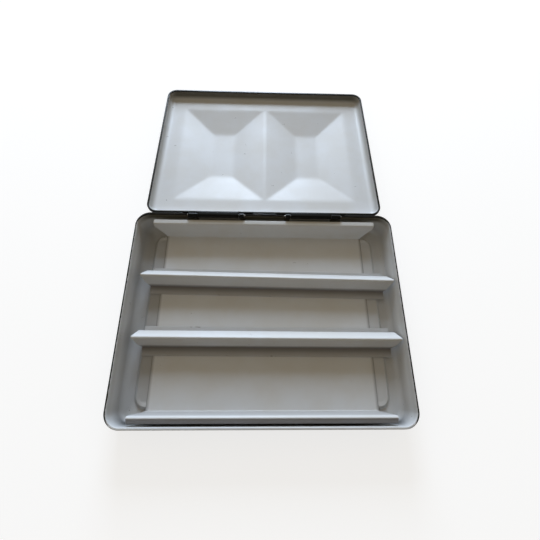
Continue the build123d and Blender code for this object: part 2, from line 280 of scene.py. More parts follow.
def grid_faces(grid, upward):
    """Quads of a grid of indices."""
    corners = [grid[:-1, :-1], grid[:-1, 1:], grid[1:, 1:], grid[1:, :-1]]
    return np.stack(corners if upward else corners[::-1], axis=2).reshape(-1, 4)


def line_lengths(line):
    """The distance along a polyline to each of its points."""
    return np.concatenate([[0], np.cumsum(np.linalg.norm(np.diff(line, axis=0), axis=1))])


def refined(line, step):
    """A polyline with further points on its long straight runs, at most step apart."""
    lengths = line_lengths(line)
    counts = np.maximum(np.ceil(np.diff(lengths) / step), 1).astype(int)
    first = np.repeat(np.arange(len(counts)), counts)
    part = (np.arange(counts.sum()) - np.repeat(np.cumsum(counts) - counts, counts)) / counts[first]
    points = line[first] + part[:, None] * (line[first + 1] - line[first])
    return np.concatenate([points, line[-1:]])


def ring_values(inner, outer, edge_points):
    """For each ring: how far it lies inside the middle of the rim's top, along the sheet, and how
    near it is to an edge that wears, from 1 on the edge to 0 at WEAR_REACH from it."""
    inside = line_lengths(inner[::-1])[::-1]
    outside = -line_lengths(outer)
    profile = np.concatenate([inner, outer])
    nearest = np.linalg.norm(profile[:, None] - np.array(edge_points)[None], axis=2).min(axis=1)
    return np.concatenate([inside, outside]), 1 - faded(nearest, 0, WEAR_REACH)


def by_side(columns, front, sides, back):
    """A value for each column, which goes round the corners by the squares of the sine and the
    cosine of its outward direction."""
    outward = columns[3]
    return (sides * columns[1] ** 2 + front * np.where(outward < 0, outward ** 2, 0)
            + back * np.where(outward > 0, outward ** 2, 0))


def pressed_shell(size, corner, profiles, edge_points, along, shape, border, thin, shade_amounts):
    """A pressed dish: the inner profile from floor to rim and the outer one from rim to underside,
    both as (inset from the rim, height), carried round a rounded rectangle. corner gives its corner
    radius for an inset, and along the fractions along X and Y at which the sides have points. shape
    moves the points of the rings, and of the floor's upper and lower panel. border is how far in
    from the rim's middle the black paint ends, and thin is 1 where the white over it is thin, both
    by side. The last argument is how much painted shade lies on the front wall, at the foot of the
    left and the right one, and on the back one. The paint attribute is the distance past that border."""
    inset, height = np.concatenate(profiles).T
    columns = path_columns(*along)
    rings = ring_points(columns, size[0] / 2 - inset, size[1] / 2 - inset, corner(inset), height)
    ring_count, total = rings.shape[:2]
    count = ring_count * total
    sides = [len(fractions) for fractions in along]
    upper, upper_points = panel_grid(rings[0], 0, *sides, count)
    under, under_points = panel_grid(rings[-1], count - total, *sides, count + len(upper_points))
    faces = [ring_faces(ring_count, total), grid_faces(upper, True), grid_faces(under, False)]
    reach, edge = ring_values(*profiles, edge_points)
    paint = reach[:, None] - by_side(columns, *border)[None, :]
    # Painted shade, near black on the white: on the walls below the rim, most on the front where the
    # insert's folded edge shadows it, and at the feet of the side walls and the panel's ends beside
    # them.
    front, left_foot, right_foot, back = shade_amounts
    walls = faded(reach, *WALL_SHADE) * (1 - faded(reach, *WALL_UNSHADED))
    left, right = (np.clip(side * columns[1], 0, 1) ** 2 for side in (-1, 1))
    painted_shade = walls[:, None] * by_side(columns, front, 0, back)[None, :]
    painted_shade += faded(reach, *FOOT_SHADE)[:, None] * (left_foot * left + right_foot * right)[None, :]
    thinned = np.where(reach[:, None] > 0, by_side(columns, *thin)[None, :], 0.0)
    pieces = [shape(rings, False).reshape(-1, 3), shape(upper_points, True), shape(under_points, True)]
    rest = len(upper_points)
    panel_shade = np.interp(upper_points[:, 0], PANEL_SHADE_X, [left_foot, 0, 0, right_foot])
    values = {
        "paint": np.concatenate([paint.ravel(), np.full(rest, reach[0]), np.full(rest, reach[-1])]),
        "thin": np.concatenate([thinned.ravel(), np.zeros(2 * rest)]),
        "painted_shade": np.concatenate([painted_shade.ravel(), panel_shade, np.zeros(rest)]),
        "edge": np.concatenate([np.repeat(edge, total), np.zeros(2 * rest)]),
    }
    return np.concatenate(pieces), np.concatenate(faces), values


def strip_sections(count):
    """A folded sheet's closed section round a mid-line of count points, with half-round edges. Each
    entry is a mid-line index and how many half thicknesses it lies off along the normal and the
    tangent."""
    swing = np.linspace(pi / 2, -pi / 2, CAP_STEPS + 1)[1:-1]
    forward = np.arange(count)
    last, first = np.full(len(swing), count - 1), np.zeros(len(swing), int)
    index = np.concatenate([forward, last, forward[::-1], first])
    normal = np.concatenate([np.ones(count), np.sin(swing), -np.ones(count), -np.sin(swing)])
    tangent = np.concatenate([np.zeros(count), np.cos(swing), np.zeros(count), -np.cos(swing)])
    return index, normal, tangent


def folded_strip(line, thickness, centre, half_length, columns):
    """A sheet folded along line, its mid-line in (y, z), and carried along x to half_length, which
    is given for each point of the line. All its edges are half round. A point lies at the mid-line's
    point plus its section's offset, which shrinks to nothing round the two ends by the cosine of
    the way round, while x goes on by half the thickness times the sine."""
    ahead = np.gradient(line, axis=0)
    ahead /= np.linalg.norm(ahead, axis=1)[:, None]
    across = np.stack([-ahead[:, 1], ahead[:, 0]], axis=1)
    index, normal, tangent = strip_sections(len(line))
    half = thickness / 2
    swing = np.linspace(0, pi / 2, CAP_STEPS + 1)
    reach = np.concatenate([-np.sin(swing[::-1]), np.zeros(columns - 2), np.sin(swing)])
    full = np.concatenate([np.cos(swing[::-1]), np.ones(columns - 2), np.cos(swing)])
    spread = np.concatenate([-np.ones(CAP_STEPS), np.linspace(-1, 1, columns), np.ones(CAP_STEPS)])
    length = (half_length - half)[index][:, None]
    x = centre + spread * length + reach * half
    offset = (normal[:, None] * across[index] + tangent[:, None] * ahead[index]) * half
    flat = line[index][:, None] + offset[:, None] * full[None, :, None]
    points = np.concatenate([x[:, :, None], flat], axis=2).transpose(1, 0, 2)
    faces = ring_faces(points.shape[0], points.shape[1])
    travel = line_lengths(line)
    ends = np.minimum(travel, travel[-1] - travel)[index][:, None]
    sides = (1 - abs(spread)) * length
    edge = 1 - faded(np.minimum(ends, sides), 0, WEAR_REACH)
    return points.reshape(-1, 3), faces, {"edge": edge.T.ravel()}


def joined(parts):
    """Several (points, faces, values) as one."""
    points, faces, values, first = [], [], {}, 0
    for part_points, part_faces, part_values in parts:
        points.append(part_points)
        faces.append(part_faces + first)
        first += len(part_points)
        for key, numbers in part_values.items():
            values.setdefault(key, []).append(numbers)
    values = {key: np.concatenate(numbers) for key, numbers in values.items()}
    return np.concatenate(points), np.concatenate(faces), values


def ear_spans(side):
    """The (low x, high x) of a hinge's two ears. The long one is away from the tin's middle."""
    centre = HINGE_X[side]
    low_ear, high_ear = (EAR_OUTER, EAR_INNER) if side == "left" else (EAR_INNER, EAR_OUTER)
    low, high = centre - KNUCKLE_LENGTH / 2 - EAR_GAP, centre + KNUCKLE_LENGTH / 2 + EAR_GAP
    return (low - low_ear, low), (high, high + high_ear)


def curl_notch(side):
    """The (low x, high x) of the gap in the base's wall round a hinge's curls."""
    (low, _), (_, high) = ear_spans(side)
    return low - PIN_PROUD - NOTCH_CLEARANCE, high + PIN_PROUD + NOTCH_CLEARANCE


def hem_notch(side):
    """The (low x, high x) of the gap in the base's hem over a hinge's plate."""
    half = PLATE_LENGTH / 2 + NOTCH_CLEARANCE
    return HINGE_X[side] - half, HINGE_X[side] + half


def side_spread(half, count, cuts=()):
    """Evenly spaced fractions from -1 to 1, with a pair of close ones at each cut."""
    pairs = [(cut + side * CUT_WIDTH) / half for cut in cuts for side in (-1, 1)]
    even = np.linspace(-1, 1, count)
    if pairs:
        gap = np.abs(even[:, None] - np.array(pairs)[None]).min(axis=1)
        even = even[(gap > CUT_MARGIN / half) | (np.abs(even) == 1)]
    return np.sort(np.concatenate([even, pairs]))


def base_face(z):
    """The y of the base's back wall, on its outside, at the height z."""
    return BASE_DEPTH / 2 - HEM - BASE_LEAN * (1 - z / BASE_HEIGHT)


def dish_profiles(height, lean, round_radius, hem_height, floor):
    """The inner profile of a dish from its floor to its rim and the outer one from its rim to its
    underside, as (inset, height). The rim is a folded hem with eased edges. floor lists the turns
    of the floor's underside from its middle outwards."""
    inner_foot = HEM + SHEET + lean * (1 - SHEET / height)
    inner = [(inset, SHEET + rise) for inset, rise in floor]
    inner += [(inner_foot, SHEET), (HEM + SHEET, height), (HEM, height)]
    outer = [(HEM, height), (0, height), (0, height - hem_height), (HEM, height - hem_height),
             (HEM + lean, 0), *floor[::-1]]
    bends = [PANEL_BEND] * (len(floor) - 1)
    inner = rounded_line(inner, [*bends, round_radius, RIM_EASE])
    outer = rounded_line(outer, [RIM_EASE, HEM_EASE, HEM_FOLD, round_radius + SHEET, *bends])
    return inner, outer[1:]


def tray_shape(points, panel):
    """Cuts the base's hem and wall away at the hinges: what stands above a cut is folded down to
    it, and a hem that is cut off lies against the wall."""
    if panel:
        return points
    x, y, z = points[..., 0], points[..., 1].copy(), points[..., 2].copy()
    back = y > BASE_DEPTH / 2 - BACK_BAND
    cut_height = PIN_Z - CURL_OUT - NOTCH_CLEARANCE
    for side in HINGE_X:
        low, high = hem_notch(side)
        bare = back & (x > low) & (x < high) & (z > BASE_HEIGHT - BASE_HEM_HEIGHT - NOTCH_CLEARANCE)
        y = np.where(bare, np.minimum(y, base_face(z)), y)
        low, high = curl_notch(side)
        gone = back & (x > low) & (x < high) & (z > cut_height)
        z = np.where(gone, cut_height + CUT_FOLD * (z - cut_height), z)
    return np.stack([x, y, z], axis=-1)


def tray_corner(inset):
    """The base's corner radius for an inset: it shrinks inwards from the rim, and the floor panel
    has a wide one of its own."""
    panel = PANEL_CORNER + RING_INSET - inset
    return np.where(inset < RING_INSET - 1, np.maximum(BASE_CORNER - inset, SMALLEST_CORNER), panel)


def base_tray(material):
    """The base, pressed from one sheet: hemmed rim, leaning walls and a raised floor panel. Its paint
    is white on the lip under each knuckle."""
    panel_inset = RING_INSET + FLOOR_STEP
    floor = [(panel_inset + PANEL_EDGE, PANEL_RISE), (panel_inset, PANEL_RISE), (RING_INSET, 0)]
    profiles = dish_profiles(BASE_HEIGHT, BASE_LEAN, BASE_ROUND, BASE_HEM_HEIGHT, floor)
    cuts = [edge for side in HINGE_X for edge in (*curl_notch(side), *hem_notch(side))]
    along = (side_spread(BASE_WIDTH / 2 - BASE_CORNER, BASE_COLUMNS[0], cuts),
             side_spread(BASE_DEPTH / 2 - BASE_CORNER, BASE_COLUMNS[1]))
    rim = [(0, BASE_HEIGHT), (HEM + SHEET, BASE_HEIGHT), (0, BASE_HEIGHT - BASE_HEM_HEIGHT)]
    # The last amounts are painted shade: heavy on the front wall behind the insert's edge, lighter at
    # the left and the right walls' feet and on the back wall.
    points, faces, values = pressed_shell(
        (BASE_WIDTH, BASE_DEPTH), tray_corner, profiles, rim, along, tray_shape,
        border=(-0.25, 0.2, 1.3), thin=(0, 0.15, 1), shade_amounts=(0.97, 0.34, 0.14, 0.2),
    )
    start, least, thinness = BARE_LIP
    for centre in HINGE_X.values():
        bare = abs(points[:, 0] - centre) < KNUCKLE_LENGTH / 2
        bare &= (points[:, 1] > BASE_DEPTH / 2 - BACK_BAND) & (values["paint"] > start)
        values["paint"] = np.where(bare, np.maximum(values["paint"], least), values["paint"])
        values["thin"] = np.where(bare, thinness, values["thin"])
    return make_piece("base_tray_enamelled", points, faces, values, "base", "tin_enamel",
                      material, ["base_tray"])


def softened(value, soft):
    """The value where it is positive and 0 where it isn't, with a smooth turn soft wide."""
    return soft * np.logaddexp(0, value / soft)


def well_depth(x, y):
    """How far the lid's panel is pressed down: in each well it falls from four sides at a steady
    slope, the least of the four counts, and it stops at the flat. All the creases are soft."""
    length = (LID_WIDTH - 2 * WELL_MARGIN - WELL_RIDGE) / 2
    depth = LID_DEPTH - 2 * WELL_MARGIN
    total = 0
    for side in (-1, 1):
        across = x - side * (length + WELL_RIDGE) / 2
        from_end = (length / 2 - np.abs(across)) / (length / 2 - WELL_FLAT[0] / 2)
        from_side = (depth / 2 - np.abs(y)) / (depth / 2 - WELL_FLAT[1] / 2)
        least = -HIP_SOFTNESS * np.logaddexp(-from_end / HIP_SOFTNESS, -from_side / HIP_SOFTNESS)
        fall = softened(least, np.interp(x * side, BRINK_PLACES, BRINK_SOFTNESS))
        total = total + fall - softened(fall - 1, FLAT_SOFTNESS)
    return WELL_DEPTH * total


def laid_back(points):
    """Turns points of the flat open lid about the pins until its wells rest on the table."""
    y, z = points[..., 1] - PIN_Y, points[..., 2] - PIN_Z
    turned = np.array(points, float)
    turned[..., 1] = PIN_Y + y * cos(TILT) + z * sin(TILT)
    turned[..., 2] = PIN_Z - y * sin(TILT) + z * cos(TILT)
    return turned


def lid_shape(points, panel):
    """Presses the wells into the panel, and lays the lid back in its place."""
    placed = np.array(points, float)
    if panel:
        placed[..., 2] -= well_depth(points[..., 0], points[..., 1])
    placed += [0, LID_NEAR + LID_DEPTH / 2, LID_RIM - LID_HEIGHT]
    return laid_back(placed)


def lid_corner(inset):
    """The lid's corner radius for an inset."""
    return np.maximum(LID_CORNER - inset, SMALLEST_CORNER)


def lid_shell(material):
    """The lid, pressed from one sheet: hemmed rim, upright walls and two mixing wells."""
    profiles = dish_profiles(LID_HEIGHT, LID_LEAN, LID_ROUND, LID_HEM_HEIGHT, [(LID_PANEL_INSET, 0)])
    along = (side_spread(LID_WIDTH / 2 - LID_CORNER, LID_COLUMNS[0]),
             side_spread(LID_DEPTH / 2 - LID_CORNER, LID_COLUMNS[1]))
    rim = [(0, LID_HEIGHT), (HEM + SHEET, LID_HEIGHT), (0, LID_HEIGHT - LID_HEM_HEIGHT)]
    points, faces, values = pressed_shell(
        (LID_WIDTH, LID_DEPTH), lid_corner, profiles, rim, along, lid_shape,
        border=(0.7, 0.85, 1.1), thin=(0, 0.4, 1), shade_amounts=(0, 0, 0, 0),
    )
    return make_piece("lid_shell_enamelled", points, faces, values, "lid", "tin_enamel",
                      material, ["lid_shell"])


def insert_tray(material):
    """The insert: floor, upturned front and back walls and their folded edges, in one sheet. The
    floor's ends, the front wall and its folded edge are darker with painted shade, where they lie in
    shadow."""
    half = INSERT_SHEET / 2
    line = rounded_line(
        [(-FRONT_RIDGE - FRONT_FLAP_RUN, RAIL_TOP - half - FRONT_FLAP_FALL * FRONT_FLAP_RUN),
         (-FRONT_RIDGE, RAIL_TOP - half), (FRONT_LEAN - FRONT_RIDGE, FLOOR_TOP - half),
         (BACK_RIDGE - BACK_LEAN, FLOOR_TOP - half), (BACK_RIDGE, RAIL_TOP - half),
         (BACK_RIDGE + BACK_FLAP_RUN, RAIL_TOP - half - BACK_FLAP_FALL * BACK_FLAP_RUN)],
        [RAIL_BEND] * 4,
    )
    line = refined(line, RUN_STEP)
    taper = [FLOOR_TOP + RAIL_BEND, RAIL_TOP - INSERT_SHEET - FRONT_FLAP_FALL * FRONT_FLAP_RUN]
    length = np.interp(line[:, 1], taper, [FLOOR_LENGTH / 2, RAIL_LENGTH / 2])
    points, faces, values = folded_strip(line, INSERT_SHEET, 0, length, SHEET_COLUMNS)
    x, y, z = points.T
    # Painted shade: a dark line at the floor's ends where they meet the panel, the folded front edge,
    # which faces away from the light, and the lower front wall in the rail's shadow.
    ends = faded(abs(x) - FLOOR_LENGTH / 2, *FLOOR_END_SHADE) * (z < FLOOR_TOP + FLOOR_FACE)
    flap = 0.95 * faded(-FRONT_RIDGE - y, *FLAP_SHADE)
    wall = 0.5 * faded(z - FLOOR_TOP, *FRONT_SHADE) * (1 - faded(z, *FRONT_UNSHADED))
    values["painted_shade"] = np.maximum(ends, np.maximum(flap, wall * (y < 0)))
    return make_piece("insert_tray_enamelled", points, faces, values, "insert", "white_enamel",
                      material, ["insert_tray"])


def middle_rail(place, material):
    """A rail between two rows: a foot on the insert's floor, a web up to the ridge, and a long
    slope, a leg and a narrow foot behind it. The whole is turned a little out of square. Painted
    shade lies on both feet, most of it in the corner under the web, where its shadow falls."""
    half, ridge = INSERT_SHEET / 2, MIDDLE_RIDGES[place]
    foot = ridge - WEB_LEAN
    line = rounded_line(
        [(foot - FOOT_WIDTH, FLOOR_TOP + half), (foot, FLOOR_TOP + half), (ridge, RAIL_TOP - half),
         (ridge + SLOPE_RUN, RAIL_TOP - half - SLOPE_DROP),
         (ridge + SLOPE_RUN + LEG_RUN, FLOOR_TOP + half + LEG_CLEARANCE),
         (ridge + SLOPE_RUN + LEG_RUN + REAR_FOOT_WIDTH, FLOOR_TOP + half + LEG_CLEARANCE)],
        [RAIL_BEND] * 4,
    )
    line = refined(line, RUN_STEP)
    outline = rounded_line(
        [(FLOOR_TOP, MIDDLE_HALF - RAIL_END_FOOT),
         (FLOOR_TOP + RAIL_END_RISE, MIDDLE_HALF - RAIL_END_TURN), (RAIL_TOP, MIDDLE_HALF)],
        [RAIL_END_ROUND], RAIL_END_POINTS,
    )
    length = np.interp(line[:, 1], outline[:, 0], outline[:, 1])
    points, faces, values = folded_strip(line, INSERT_SHEET, 0, length, SHEET_COLUMNS)
    front = foot - points[:, 1]
    rear = points[:, 1] - ridge - SLOPE_RUN - LEG_RUN
    # Painted shade: darkest in the corner under the web and fading over the front foot, lighter on the
    # rear foot in the shadow of the rail behind it.
    corner = faded(front, *WEB_SHADE) * np.interp(front, *FOOT_SHADE_FALL)
    values["painted_shade"] = corner + 0.35 * faded(rear, *REAR_SHADE)
    skew = MIDDLE_SKEWS[place]
    x, y = points[:, 0].copy(), points[:, 1] - ridge
    points[:, 0] = MIDDLE_OFFSET + x * cos(skew) + y * sin(skew)
    points[:, 1] = ridge - x * sin(skew) + y * cos(skew)
    return make_piece(f"middle_rail_{place}_enamelled", points, faces, values, "insert",
                      "white_enamel", material, [f"middle_rail_{place}"])


def curl(start, end):
    """The mid-line of a sheet curled round the pin: an arc from one angle to another, in degrees."""
    angle = np.radians(np.linspace(start, end, CURL_POINTS))
    return np.stack([PIN_Y + CURL_MID * np.cos(angle), PIN_Z + CURL_MID * np.sin(angle)], axis=1)


def bar_strip(line, low, high, columns):
    """A strip of the hinges' sheet, folded along line, from x low to x high."""
    half_length = np.full(len(line), (high - low) / 2)
    return folded_strip(line, HINGE_SHEET, (low + high) / 2, half_length, columns)


def base_hinge(side, material):
    """A plate on the base's back wall and its two ears, curled over the pin."""
    foot, shoulder = PIN_Z - PLATE_DROP, PIN_Z - CURL_OUT - NOTCH_CLEARANCE
    middle = HINGE_SHEET / 2
    low_edge, high_edge = (base_face(foot) + middle, foot), (base_face(shoulder) + middle, shoulder)
    centre = HINGE_X[side]
    plate = np.linspace(low_edge, high_edge, PLATE_ROWS)
    ear = np.concatenate([[high_edge], curl(*EAR_CURL)])
    parts = [bar_strip(plate, centre - PLATE_LENGTH / 2, centre + PLATE_LENGTH / 2, PLATE_COLUMNS)]
    parts += [bar_strip(ear, low, high, EAR_COLUMNS) for low, high in ear_spans(side)]
    return make_piece(f"base_hinge_{side}", *joined(parts), "base", "black_enamel",
                      material, [f"base_hinge_plate_{side}"])


def lid_hinge_leaf(side, material):
    """A plate on the lid's hem, bent over to the pin and curled round it as a long knuckle."""
    centre, middle = HINGE_X[side], HINGE_SHEET / 2
    plate = rounded_line(
        [(LID_NEAR - middle, LID_RIM - LID_HEM_HEIGHT), (LID_NEAR - middle, PIN_Z + CURL_MID),
         (PIN_Y + LEAF_LAP, PIN_Z + CURL_MID)], [LEAF_BEND],
    )
    line = np.concatenate([plate, curl(*KNUCKLE_CURL)])
    points, faces, values = bar_strip(
        line, centre - KNUCKLE_LENGTH / 2, centre + KNUCKLE_LENGTH / 2, PLATE_COLUMNS
    )
    return make_piece(f"lid_hinge_{side}", laid_back(points), faces, values, "lid", "black_enamel",
                      material, [f"lid_hinge_plate_{side}"])


def add(tree, kind, inputs=None, **settings):
    """A shader node with its settings and inputs. An input that is a socket is linked."""
    node = tree.nodes.new(kind)
    for name, value in settings.items():
        setattr(node, name, value)
    for name, value in (inputs or {}).items():
        if isinstance(value, bpy.types.NodeSocket):
            tree.links.new(value, node.inputs[name])
        else:
            node.inputs[name].default_value = value
    return node


def maths(tree, operation, first, second, third=None):
    """The output of a Math node."""
    inputs = {0: first, 1: second}
    if third is not None:
        inputs[2] = third
    return add(tree, "ShaderNodeMath", inputs, operation=operation).outputs[0]


def blended(tree, factor, first, second):
    """The colour between two colours."""
    mix = add(tree, "ShaderNodeMix", {0: factor, 6: first, 7: second}, data_type="RGBA")
    return mix.outputs[2]


def ramp(tree, value, low, high, to_low=0.0, to_high=1.0):
    """The value from low to high as one from to_low to to_high, smooth and clamped."""
    node = add(tree, "ShaderNodeMapRange", {0: value, 1: low, 2: high, 3: to_low, 4: to_high},
               interpolation_type="SMOOTHSTEP")
    return node.outputs[0]


def effect_group(name, inputs, outputs):
    """An empty node group with float inputs, as (name, default), and outputs, as (name, type)."""
    group = bpy.data.node_groups.new(name, "ShaderNodeTree")
    for label, default in inputs:
        socket = group.interface.new_socket(label, in_out="INPUT", socket_type="NodeSocketFloat")
        socket.default_value = default
    for label, kind in outputs:
        group.interface.new_socket(label, in_out="OUTPUT", socket_type=f"NodeSocket{kind}")
    source = group.nodes.new("NodeGroupInput")
    target = group.nodes.new("NodeGroupOutput")
    return group, source, target


def millimetres(tree):
    """Object coordinates in millimetres."""
    place = add(tree, "ShaderNodeTexCoord").outputs["Object"]
    scaled = add(tree, "ShaderNodeVectorMath", {0: place, "Scale": 1 / MM}, operation="SCALE")
    return scaled.outputs[0]


def noise(tree, place, scale, detail=2.0, rough=0.5, stretch=None):
    """Noise from 0 to 1 with scale waves to the millimetre."""
    if stretch:
        stretched = add(tree, "ShaderNodeVectorMath", {0: place, 1: stretch}, operation="MULTIPLY")
        place = stretched.outputs[0]
    node = add(tree, "ShaderNodeTexNoise",
               {"Vector": place, "Scale": scale, "Detail": detail, "Roughness": rough})
    return node.outputs["Fac"]


def enamel_skin_group():
    """Fired enamel: Height is its fine ripple over the sheet's slow dents, Mottle the slow change
    of its tone, Specks its few pinholes and grains of dirt."""
    group, source, target = effect_group(
        "enamel_skin", [("Ripple", 1.0), ("Speck Size", 0.5)],
        [("Height", "Float"), ("Mottle", "Float"), ("Specks", "Float")],
    )
    place = millimetres(group)
    ripple = maths(group, "MULTIPLY", noise(group, place, 0.9, 2), source.outputs["Ripple"])
    dents = maths(group, "MULTIPLY", noise(group, place, 0.07, 1), 6.0)
    group.links.new(maths(group, "ADD", ripple, dents), target.inputs["Height"])
    group.links.new(noise(group, place, 0.045, 3, 0.6), target.inputs["Mottle"])
    cells = add(group, "ShaderNodeTexVoronoi", {"Vector": place, "Scale": 0.16})
    spread = maths(group, "ADD", cells.outputs["Distance"], noise(group, place, 1.6, 2))
    random = add(group, "ShaderNodeSeparateColor", {0: cells.outputs["Color"]}).outputs[0]
    chosen = ramp(group, random, 0.70, 0.74)
    size = maths(group, "MULTIPLY_ADD", source.outputs["Speck Size"], 0.1, 0.42)
    small = maths(group, "LESS_THAN", spread, size)
    group.links.new(maths(group, "MULTIPLY", small, chosen), target.inputs["Specks"])
    return group


def edge_wear_group():
    """Enamel knocked off along edges: Chips is 1 where it has gone, Rub where it is only dulled."""
    group, source, target = effect_group(
        "edge_wear", [("Edge", 0.0), ("Amount", 0.5), ("Grain", 1.2)],
        [("Chips", "Float"), ("Rub", "Float")],
    )
    place = millimetres(group)
    fine = noise(group, place, source.outputs["Grain"], 4, 0.65)
    slow = noise(group, place, 0.13, 2)
    level = maths(group, "ADD", fine, maths(group, "MULTIPLY", slow, 0.8))
    reach = maths(group, "MULTIPLY", source.outputs["Edge"], source.outputs["Amount"])
    worn = maths(group, "ADD", level, reach)
    group.links.new(ramp(group, worn, 1.42, 1.46), target.inputs["Chips"])
    group.links.new(ramp(group, worn, 1.15, 1.45), target.inputs["Rub"])
    return group


def finish_material(name):
    """A new node material with its Principled shader."""
    material = bpy.data.materials.new(name)
    material.use_nodes = True
    shader = material.node_tree.nodes["Principled BSDF"]
    return material, material.node_tree, shader


def attribute(tree, name):
    """A mesh attribute's value."""
    return add(tree, "ShaderNodeAttribute", attribute_name=name).outputs["Fac"]


WHITE_ENAMEL = (0.70, 0.715, 0.73, 1)
WHITE_WARM = (0.67, 0.67, 0.66, 1)
THIN_WHITE = (0.15, 0.14, 0.115, 1)
# Painted shade: grey on the insert and the rails, near black on the tin's walls.
GREY_PAINTED_SHADE = (0.195, 0.182, 0.18, 1)
DARK_PAINTED_SHADE = (0.02, 0.02, 0.022, 1)
BLACK_ENAMEL = (0.008, 0.008, 0.008, 1)
BLACK_DULL = (0.022, 0.020, 0.018, 1)
SPECK = (0.10, 0.085, 0.07, 1)
BARE_STEEL = (0.17, 0.15, 0.13, 1)
WIRE_GREY = (0.22, 0.21, 0.20, 1)
WIRE_BROWN = (0.08, 0.05, 0.035, 1)
ENAMEL_RIPPLE, WIRE_RIPPLE = 0.012, 0.01      # the depth of the bumps, in millimetres


def white_colour(tree, skin):
    """White enamel's colour: slow mottling and specks."""
    tone = blended(tree, ramp(tree, skin.outputs["Mottle"], 0.3, 0.7), WHITE_ENAMEL, WHITE_WARM)
    return blended(tree, maths(tree, "MULTIPLY", skin.outputs["Specks"], 0.75), tone, SPECK)


def add_bump(tree, shader, height, depth):
    """A bump from a height of about 0 to 1, its depth in millimetres."""
    inputs = {"Strength": 1.0, "Distance": depth * MM, "Height": height}
    tree.links.new(add(tree, "ShaderNodeBump", inputs).outputs[0], shader.inputs["Normal"])


def enamel_effects(tree, amount):
    """The enamel's skin and its wear, the wear from the piece's edge attribute and by an amount."""
    skin = add(tree, "ShaderNodeGroup", node_tree=SKIN)
    inputs = {"Edge": attribute(tree, "edge"), "Amount": amount}
    return skin, add(tree, "ShaderNodeGroup", inputs, node_tree=WEAR)


def white_enamel():
    """The insert's and the rails' enamel, chipped along their edges, with grey painted shade where
    they lie in shadow.
    """
    material, tree, shader = finish_material("white_enamel")
    skin, wear = enamel_effects(tree, 0.30)
    # Grey painted shade, blended in where the pieces lie in shadow.
    painted_shade = maths(tree, "MULTIPLY", attribute(tree, "painted_shade"), 0.95)
    colour = blended(tree, painted_shade, white_colour(tree, skin), GREY_PAINTED_SHADE)
    colour = blended(tree, wear.outputs["Chips"], colour, BARE_STEEL)
    tree.links.new(colour, shader.inputs["Base Color"])
    rough = ramp(tree, skin.outputs["Mottle"], 0.2, 0.8, 0.38, 0.48)
    rough = maths(tree, "MULTIPLY_ADD", wear.outputs["Rub"], 0.12, rough)
    tree.links.new(rough, shader.inputs["Roughness"])
    shader.inputs["Specular IOR Level"].default_value = 0.4
    add_bump(tree, shader, skin.outputs["Height"], ENAMEL_RIPPLE)
    return material


def tin_enamel():
    """The base's and the lid's enamel: white inside, black outside and over the rim. The line
    between them wanders a little, and the black is rubbed along the rim."""
    material, tree, shader = finish_material("tin_enamel")
    skin, wear = enamel_effects(tree, 0.40)
    place = millimetres(tree)
    wander = maths(tree, "MULTIPLY_ADD", noise(tree, place, 0.5, 3), 0.5, attribute(tree, "paint"))
    inside = ramp(tree, wander, 0.15, 0.45)
    cover = ramp(tree, attribute(tree, "paint"), 2.2, 5.2)
    thin = maths(tree, "MULTIPLY", attribute(tree, "thin"), maths(tree, "SUBTRACT", 1.0, cover))
    white = blended(tree, thin, white_colour(tree, skin), THIN_WHITE)
    # Near-black painted shade over the white, where the walls lie in shadow.
    white = blended(tree, attribute(tree, "painted_shade"), white, DARK_PAINTED_SHADE)
    black = blended(tree, wear.outputs["Rub"], BLACK_ENAMEL, BLACK_DULL)
    black = blended(tree, wear.outputs["Chips"], black, BARE_STEEL)
    tree.links.new(blended(tree, inside, black, white), shader.inputs["Base Color"])
    rough = ramp(tree, skin.outputs["Mottle"], 0.2, 0.8, 0.28, 0.36)
    rough = maths(tree, "MULTIPLY_ADD", inside, 0.13, rough)
    rough = maths(tree, "MULTIPLY_ADD", wear.outputs["Rub"], 0.15, rough)
    tree.links.new(rough, shader.inputs["Roughness"])
    shader.inputs["Specular IOR Level"].default_value = 0.35
    add_bump(tree, shader, skin.outputs["Height"], ENAMEL_RIPPLE)
    return material


def black_enamel():
    """The hinges' enamel, worn on the curls and the edges."""
    material, tree, shader = finish_material("black_enamel")
    skin, wear = enamel_effects(tree, 0.12)
    shader.inputs["Specular IOR Level"].default_value = 0.12
    black = blended(tree, wear.outputs["Rub"], BLACK_ENAMEL, BLACK_DULL)
    black = blended(tree, wear.outputs["Chips"], black, BARE_STEEL)
    tree.links.new(black, shader.inputs["Base Color"])
    rough = maths(tree, "MULTIPLY_ADD", wear.outputs["Rub"], 0.22, 0.30)
    tree.links.new(rough, shader.inputs["Roughness"])
    add_bump(tree, shader, skin.outputs["Height"], ENAMEL_RIPPLE)
    return material


def steel_wire():
    """The pins' drawn wire, with its fine lines along X and brown spots."""
    material, tree, shader = finish_material("steel_wire")
    place = millimetres(tree)
    lines = noise(tree, place, 6.0, 2, 0.5, (0.05, 1, 1))
    spots = ramp(tree, noise(tree, place, 1.1, 3), 0.55, 0.68)
    tree.links.new(blended(tree, spots, WIRE_GREY, WIRE_BROWN), shader.inputs["Base Color"])
    shader.inputs["Metallic"].default_value = 1.0
    tree.links.new(ramp(tree, lines, 0.3, 0.7, 0.28, 0.5), shader.inputs["Roughness"])
    add_bump(tree, shader, lines, WIRE_RIPPLE)
    return material


SKIN, WEAR = enamel_skin_group(), edge_wear_group()
white, two_tone, black, wire = white_enamel(), tin_enamel(), black_enamel(), steel_wire()

base_tray(two_tone)
lid_shell(two_tone)
insert_tray(white)
for rail_place in MIDDLE_RIDGES:
    middle_rail(rail_place, white)
for hinge_side in HINGE_X:
    base_hinge(hinge_side, black)
    lid_hinge_leaf(hinge_side, black)
    pin = frame["nodes"][f"hinge_pin_{hinge_side}"]
    pin.data.materials.clear()
    pin.data.materials.append(wire)


